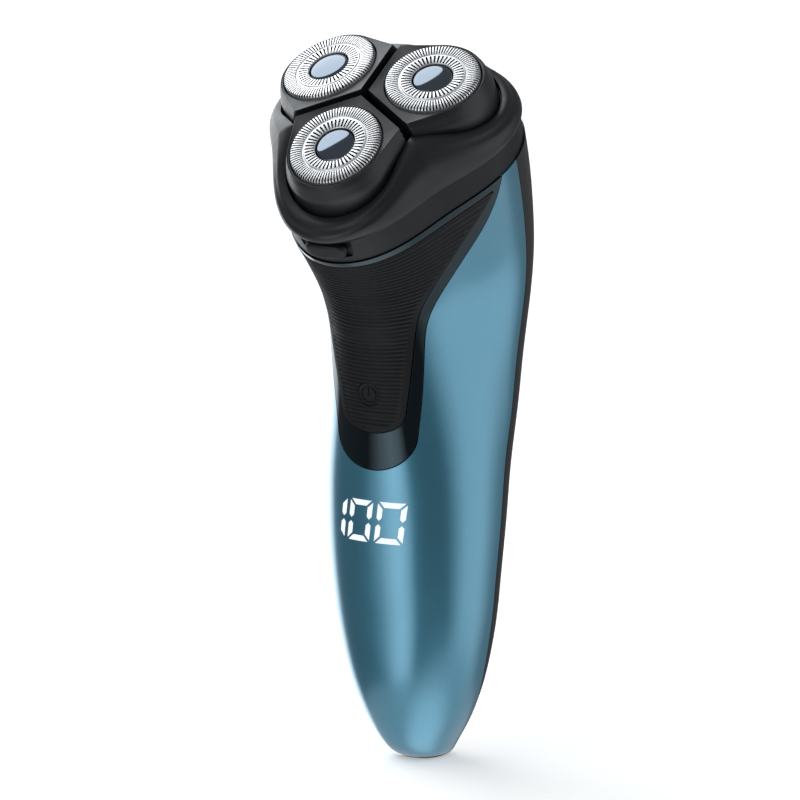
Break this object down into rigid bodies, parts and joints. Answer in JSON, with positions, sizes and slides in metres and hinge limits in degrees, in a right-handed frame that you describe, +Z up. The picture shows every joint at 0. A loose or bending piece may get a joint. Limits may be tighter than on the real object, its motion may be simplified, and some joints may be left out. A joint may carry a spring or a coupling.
{
  "type": "electric shaver",
  "caption": "Cordless rotary shaver: three floating round cutting heads on a flip-open unit, over a waisted upright handle with a ribbed rubber grip, a power button and a lit charge readout.",
  "frame": {"origin": "middle of the small flat foot of the handle", "axes": "+Z up the handle, -Y towards the front with the button, +X to the right as seen from behind the shaver"},
  "size_m": [0.061, 0.0642, 0.1653],
  "materials": {
    "pearl_blue": "metallic pearl lacquer",
    "satin_black": "satin",
    "gloss_black": "high gloss",
    "grip_rubber": "matte, ribbed",
    "matte_black": "fine matte",
    "guard_steel": "ground and slotted",
    "cap_steel": "polished",
    "blade_steel": "ground",
    "white_nylon": "moulded nylon",
    "grey_plastic": "moulded",
    "seal_rubber": "soft matte",
    "cell_sleeve": "shrink sleeve over steel",
    "board_green": "solder resist",
    "brass": "machined"
  },
  "bodies": {
    "handle": {"front_shell": "pearl_blue", "rear_shell": "satin_black", "panel_bezel": "gloss_black", "grip_panel": "grip_rubber", "neck_collar": "matte_black", "drive_deck": "grey_plastic", "deck_screw_1": "blade_steel", "deck_screw_2": "blade_steel", "deck_screw_3": "blade_steel", "shaft_seal_1": "seal_rubber", "shaft_seal_2": "seal_rubber", "shaft_seal_3": "seal_rubber", "chassis": "grey_plastic", "motor": "blade_steel", "battery": "cell_sleeve", "battery_tab_bottom": "blade_steel", "battery_tab_top": "blade_steel", "circuit_board": "board_green", "display_module": "white_nylon", "power_switch": "grey_plastic", "charging_socket": "grey_plastic", "socket_seal": "seal_rubber", "release_spring": "blade_steel", "hinge_pin": "blade_steel"},
    "shaving_unit": {"head_shell": "satin_black", "head_base": "grey_plastic", "head_catch": "grey_plastic"},
    "power_button": {"power_button": "grip_rubber"},
    "release_button": {"release_button": "matte_black"},
    "lock_knob": {"lock_knob": "white_nylon"},
    "motor_rotor": {"motor_pinion": "brass"},
    "petal_1": {"petal_1": "satin_black", "retainer_1": "grey_plastic"},
    "guard_1": {"guard_1": "guard_steel", "guard_dome_1": "cap_steel"},
    "cutter_1": {"cutter_1": "blade_steel"},
    "drive_1": {"gear_1": "white_nylon", "spindle_1": "white_nylon"},
    "petal_2": {"petal_2": "satin_black", "retainer_2": "grey_plastic"},
    "guard_2": {"guard_2": "guard_steel", "guard_dome_2": "cap_steel"},
    "cutter_2": {"cutter_2": "blade_steel"},
    "drive_2": {"gear_2": "white_nylon", "spindle_2": "white_nylon"},
    "petal_3": {"petal_3": "satin_black", "retainer_3": "grey_plastic"},
    "guard_3": {"guard_3": "guard_steel", "guard_dome_3": "cap_steel"},
    "cutter_3": {"cutter_3": "blade_steel"},
    "drive_3": {"gear_3": "white_nylon", "spindle_3": "white_nylon"}
  },
  "joints": [
    {"name": "head_flip", "type": "hinge", "parent": "handle", "child": "shaving_unit", "pos_m": [0, 0.00746, 0.15571], "axis": [-1, 0, 0], "range_deg": [0, 105]},
    {"name": "power_press", "type": "slide", "parent": "handle", "child": "power_button", "axis": [0, 0.9903, 0.1392], "range_m": [0, 0.0004], "stiffness_N_per_m": 2500},
    {"name": "release_press", "type": "slide", "parent": "handle", "child": "release_button", "axis": [0, 0.8434, 0.5373], "range_m": [0, 0.0007], "stiffness_N_per_m": 1500},
    {"name": "lock_turn", "type": "hinge", "parent": "shaving_unit", "child": "lock_knob", "pos_m": [0, -0.022, 0.156], "axis": [0, -0.5373, 0.8434], "range_deg": [0, 90]},
    {"name": "motor_spin", "type": "hinge", "parent": "handle", "child": "motor_rotor", "pos_m": [0, -0.022, 0.156], "axis": [0, -0.5373, 0.8434], "continuous": true},
    {"name": "petal_rock_1", "type": "hinge", "parent": "shaving_unit", "child": "petal_1", "pos_m": [0, -0.03147, 0.14291], "axis": [1, 0, 0], "range_deg": [-4, 4], "stiffness_Nm_per_rad": 0.25},
    {"name": "guard_float_1", "type": "slide", "parent": "petal_1", "child": "guard_1", "axis": [0, -0.6428, 0.766], "range_m": [-0.001, 0], "stiffness_N_per_m": 600},
    {"name": "cutter_spin_1", "type": "hinge", "parent": "guard_1", "child": "cutter_1", "pos_m": [0, -0.03533, 0.14751], "axis": [0, -0.6428, 0.766], "continuous": true},
    {"name": "gear_spin_1", "type": "hinge", "parent": "handle", "child": "drive_1", "pos_m": [0, -0.03474, 0.14789], "axis": [0, -0.5373, 0.8434], "continuous": true},
    {"name": "petal_rock_2", "type": "hinge", "parent": "shaving_unit", "child": "petal_2", "pos_m": [0.013, -0.01247, 0.15502], "axis": [-0.5, 0.7304, 0.4653], "range_deg": [-4, 4], "stiffness_Nm_per_rad": 0.25},
    {"name": "guard_float_2", "type": "slide", "parent": "petal_2", "child": "guard_2", "axis": [0.113, -0.4777, 0.8712], "range_m": [-0.001, 0], "stiffness_N_per_m": 600},
    {"name": "cutter_spin_2", "type": "hinge", "parent": "guard_2", "child": "cutter_2", "pos_m": [0.01368, -0.01534, 0.16024], "axis": [0.113, -0.4777, 0.8712], "continuous": true},
    {"name": "gear_spin_2", "type": "hinge", "parent": "handle", "child": "drive_2", "pos_m": [0.01308, -0.01563, 0.16006], "axis": [0, -0.5373, 0.8434], "continuous": true},
    {"name": "petal_rock_3", "type": "hinge", "parent": "shaving_unit", "child": "petal_3", "pos_m": [-0.013, -0.01247, 0.15502], "axis": [-0.5, -0.7304, -0.4653], "range_deg": [-4, 4], "stiffness_Nm_per_rad": 0.25},
    {"name": "guard_float_3", "type": "slide", "parent": "petal_3", "child": "guard_3", "axis": [-0.113, -0.4777, 0.8712], "range_m": [-0.001, 0], "stiffness_N_per_m": 600},
    {"name": "cutter_spin_3", "type": "hinge", "parent": "guard_3", "child": "cutter_3", "pos_m": [-0.01368, -0.01534, 0.16024], "axis": [-0.113, -0.4777, 0.8712], "continuous": true},
    {"name": "gear_spin_3", "type": "hinge", "parent": "handle", "child": "drive_3", "pos_m": [-0.01308, -0.01563, 0.16006], "axis": [0, -0.5373, 0.8434], "continuous": true}
  ],
  "couplings": [
    {"joint": "gear_spin_1", "follows": "motor_spin", "ratio": -0.66667},
    {"joint": "cutter_spin_1", "follows": "motor_spin", "ratio": -0.66667},
    {"joint": "gear_spin_2", "follows": "motor_spin", "ratio": -0.66667},
    {"joint": "cutter_spin_2", "follows": "motor_spin", "ratio": -0.66667},
    {"joint": "gear_spin_3", "follows": "motor_spin", "ratio": -0.66667},
    {"joint": "cutter_spin_3", "follows": "motor_spin", "ratio": -0.66667}
  ]
}
